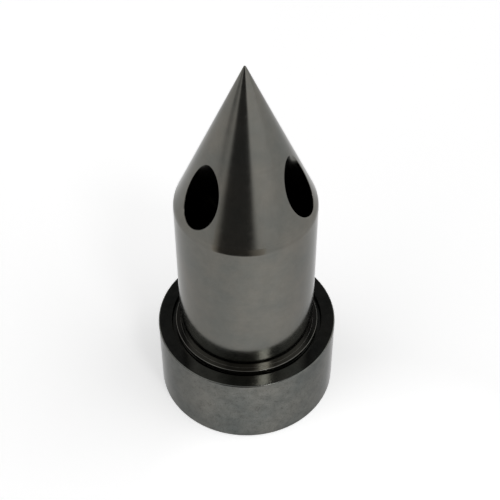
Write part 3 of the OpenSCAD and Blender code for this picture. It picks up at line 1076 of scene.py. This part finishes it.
def make_gland():
    low, high = span("bearing_gland")
    obj = turned_piece("gland_ring", square_ring(10.4, "bearing_gland", 0.2), segments=160,
                       thread_r=GLAND_R)
    press_thread(obj, GLAND_R, low + 0.2, high - 0.2, **RING_THREAD)
    slots = [block(f"slot_{i}", (9.4, -1.25, low - 1), (12.0, 1.25, low + 1.5),
                   math.radians(45 + 90 * i)) for i in range(SLOT_COUNT)]
    return cut(obj, [], slots)


def make_locknut():
    low, high = span("locknut")
    outer_r = 11.0
    obj = turned_piece("nut_ring", [(BORE_R, low, 0.2), (outer_r, low, 0.3),
                                    (outer_r, high, 0.5), (BORE_R, high, 0.2)], thread_r=BORE_R)
    press_thread(obj, BORE_R, low + 0.2, high - 0.2, **RING_THREAD, inside=True)
    slots = [block(f"slot_{i}", (9.8, -1.5, low - 1), (12.8, 1.5, high + 1), math.pi / 2 * i)
             for i in range(SLOT_COUNT)]
    return cut(obj, [], slots)


def make_preload_spring():
    """A flat ring bent into four waves, which press the upper outer ring down."""
    low, high = span("preload_spring")
    middle, half, waves = (low + high) / 2, 0.2, 4
    rise = (high - low) / 2 - half
    r_in, r_out = OUTER_LAND_R + 0.4, OUTER_R - 0.15
    corners = [(r_in, middle - half, 0.08), (r_out, middle - half, 0.08),
               (r_out, middle + half, 0.08), (r_in, middle + half, 0.08)]
    obj = turned_piece("wave_ring", corners, segments=240)
    normals = vertex_normals_of(obj)
    for i, vertex in enumerate(obj.data.vertices):
        a = math.atan2(vertex.co.y, vertex.co.x)
        r = math.hypot(vertex.co.x, vertex.co.y) / MM
        vertex.co.z += rise * math.sin(waves * a) * MM
        n = Vector(normals[i])
        slope = rise * waves * math.cos(waves * a) / r
        n -= Vector((-math.sin(a), math.cos(a), 0)) * (n.z * slope)
        normals[i] = n.normalized()
    return set_normals(obj, normals)


for side in ("lower", "upper"):
    stand_for(make_race(side + "_inner_ring", True), side + "_inner_ring")
    stand_for(make_race(side + "_outer_ring", False), side + "_outer_ring")
    stand_for(make_balls(side + "_balls"), side + "_balls")
    stand_for(make_ball_cage(side + "_cage", side + "_balls"), side + "_cage")
    shield = square_ring(INNER_LAND_R + 0.25, side + "_shield", 0.06)
    stand_for(turned_piece(side + "_cover", shield), side + "_shield")
stand_for(turned_piece("inner_sleeve", square_ring(BORE_R, "inner_spacer", 0.25)), "inner_spacer")
stand_for(turned_piece("outer_sleeve", square_ring(OUTER_LAND_R, "outer_spacer", 0.25)),
          "outer_spacer")
for washer in ("thrust_washer_lower", "thrust_washer_upper"):
    stand_for(turned_piece(washer + "_disc", square_ring(FOOT_R + 0.08, washer, 0.15)), washer)
stand_for(make_needles(), "thrust_needles")
stand_for(make_thrust_cage(), "thrust_cage")
stand_for(make_gland(), "bearing_gland")
stand_for(make_locknut(), "locknut")
stand_for(make_preload_spring(), "preload_spring")


# ---- Studio

FLOOR_R = 1.6
FLOOR_Z = -0.0001
BACKDROP = 0.97
ROOM = 1.2
# Patches of the room: turn to the right of the camera, height, inner and outer reach, level
ROOM_PATCHES = [
    (-75, 5, 25, 60, 0.8),
    (-82, 2, 8, 38, 0.42),
    (180, 50, 22, 50, 0.06),
    (5, 50, 20, 42, 0.35),
    (-9, 9, 12, 26, 0.09),
    (-14, -4, 20, 34, 0.09),
]
# The floor glows a little, a trace more to the camera's left, so that it is evenly pale. A
# painted pool of light, a brighter glowing spot, lies in front of the part, to the right.
GLOW_LEFT = 0.42
GLOW_RIGHT = 0.40
GLOW_REACH = (-0.004, 0.012)
LIGHT_POOL_GLOW = 0.22
LIGHT_POOL_TURN = 28
LIGHT_POOL_AWAY = 0.08
LIGHT_POOL_REACH = (0.02, 0.075)
# A dark flag with soft, glowing sides lies in front of the part, where only the steel mirrors it:
# a painted dark reflection, with painted light at its sides
FLAG_NEAR = 0.1
FLAG_Z = 0.0005
FLAG_TURNS = (-46, -36, 2, 26)
FLAG_LEVEL = 0.09
FLAG_STEPS = 24
FLAG_GLOW = (1, 0.93, 0.84, 1)
WHITE = (1, 1, 1, 1)

KEY_POWER = 1.4
KEY_SIZE = 0.22
KEY_TURN = 30
KEY_RISE = 52
KEY_AWAY = 1.2
KEY_AIM = Vector((0, 0, 0.05))

CAMERA_TURN = math.radians(-9)
CAMERA_RISE = math.radians(47.17)
CAMERA_ROLL = math.radians(-0.241)
CAMERA_DISTANCE = 0.34387
CAMERA_AIM_UP = 0.05426
CAMERA_AIM_RIGHT = 0.0011
LENS = 86.63

right = Vector((math.cos(CAMERA_TURN), math.sin(CAMERA_TURN), 0))
toward = Vector((math.sin(CAMERA_TURN), -math.cos(CAMERA_TURN), 0))


def studio_place(turn, rise, distance):
    """A place seen from the part: turn is degrees to the right of the camera."""
    a = math.radians(turn)
    flat = toward * math.cos(a) + right * math.sin(a)
    b = math.radians(rise)
    return (flat * math.cos(b) + UP * math.sin(b)) * distance


def make_floor():
    """A pale round table top, smooth and plain but for a painted pool of light in front of the
    part, to the right, and glowing a little.
    """
    build = bmesh.new()
    bmesh.ops.create_circle(build, cap_ends=True, segments=128, radius=FLOOR_R)
    obj = mesh_object("floor", build)
    obj.location.z = FLOOR_Z
    material, graph, shader = new_material("floor")
    place = graph.place()
    across = graph.measure("DOT_PRODUCT", place, right)
    glow = graph.ramp(across, *GLOW_REACH, GLOW_LEFT, GLOW_RIGHT)
    # Painted pool of light: the floor glows brighter near a place in front of the part, to the
    # right
    away = graph.measure("DISTANCE", place, studio_place(LIGHT_POOL_TURN, 0, LIGHT_POOL_AWAY))
    light_pool = graph.ramp(away, *LIGHT_POOL_REACH, LIGHT_POOL_GLOW, 0)
    graph.fill(shader, {
        "Base Color": (0.9, 0.9, 0.9, 1),
        "Roughness": 0.9,
        "Specular IOR Level": 0.0,
        "Emission Color": WHITE,
        "Emission Strength": graph.total(glow, light_pool),
    })
    obj.data.materials.append(material)


def make_flag():
    """The dark flag: a flat sector on the floor that only reflections see, a painted dark
    reflection whose sides glow warm.
    """
    low, high = math.radians(FLAG_TURNS[0]), math.radians(FLAG_TURNS[-1])
    verts = []
    for k in range(FLAG_STEPS + 1):
        a = low + (high - low) * k / FLAG_STEPS
        out = toward * math.cos(a) + right * math.sin(a)
        verts += [tuple(out * FLAG_NEAR), tuple(out * FLOOR_R)]
    faces = [(2 * k, 2 * k + 1, 2 * k + 3, 2 * k + 2) for k in range(FLAG_STEPS)]
    mesh = new_mesh("flag", verts, faces)
    obj = add_object("flag", mesh)
    obj.location.z = FLAG_Z
    material, graph, shader = new_material("flag")
    place = graph.place()
    unit = graph.add("VectorMath", {0: place}, operation="NORMALIZE")["Vector"]
    across = graph.measure("DOT_PRODUCT", unit, right)
    sines = [math.sin(math.radians(a)) for a in FLAG_TURNS]
    # Painted reflection: the sides glow warm and fully, the middle only dimly, so the steel
    # mirrors a dark patch with soft edges
    fade_in = graph.ramp(across, sines[0], sines[1], 1, FLAG_LEVEL)
    fade_out = graph.ramp(across, sines[2], sines[3], FLAG_LEVEL, 1)
    graph.fill(shader, {
        "Base Color": (0.01, 0.01, 0.01, 1),
        "Specular IOR Level": 0.0,
        "Emission Color": FLAG_GLOW,
        "Emission Strength": graph.add("Math", {0: fade_in, 1: fade_out},
                                       operation="MAXIMUM")[0],
    })
    mesh.materials.append(material)
    obj.visible_camera = False
    obj.visible_diffuse = False
    obj.visible_shadow = False


def make_world():
    """Soft studio surround: plain and pale to the camera. The steel mirrors a bright room that
    is greyer at the left, dim overhead, and dark over the back and low behind the camera."""
    world = bpy.data.worlds.new("studio")
    scene.world = world
    graph = Graph(world)
    direction = graph.add("TexCoord", {})["Generated"]
    value = ROOM
    for turn, rise, near, far, level in ROOM_PATCHES:
        facing = graph.measure("DOT_PRODUCT", direction, studio_place(turn, rise, 1))
        patch = graph.ramp(facing, math.cos(math.radians(far)), math.cos(math.radians(near)),
                           0, 1, interpolation_type="SMOOTHSTEP")
        value = graph.mix(patch, value, level)
    camera_ray = graph.add("LightPath", {})["Is Camera Ray"]
    graph.fill(graph.nodes["Background"],
               {"Color": WHITE, "Strength": graph.mix(camera_ray, value, BACKDROP)})


def make_key_light():
    data = bpy.data.lights.new("key", "AREA")
    data.energy = KEY_POWER
    data.shape = "DISK"
    data.size = KEY_SIZE
    obj = add_object("key", data)
    obj.location = studio_place(KEY_TURN, KEY_RISE, KEY_AWAY)
    obj.rotation_euler = (KEY_AIM - obj.location).to_track_quat("-Z", "Y").to_euler()


def make_camera():
    data = bpy.data.cameras.new("camera")
    data.lens = LENS
    data.sensor_width = 36
    data.clip_start = 0.01
    obj = add_object("camera", data)
    outward = toward * math.cos(CAMERA_RISE) + UP * math.sin(CAMERA_RISE)
    aim = right * CAMERA_AIM_RIGHT + UP * CAMERA_AIM_UP
    over = outward.cross(right)
    x_axis = right * math.cos(CAMERA_ROLL) + over * math.sin(CAMERA_ROLL)
    y_axis = outward.cross(x_axis)
    turn = Matrix((x_axis, y_axis, outward)).transposed().to_4x4()
    obj.matrix_world = Matrix.Translation(aim + outward * CAMERA_DISTANCE) @ turn
    scene.camera = obj


make_floor()
make_flag()
make_world()
make_camera()
make_key_light()
scene.view_settings.view_transform = "Standard"
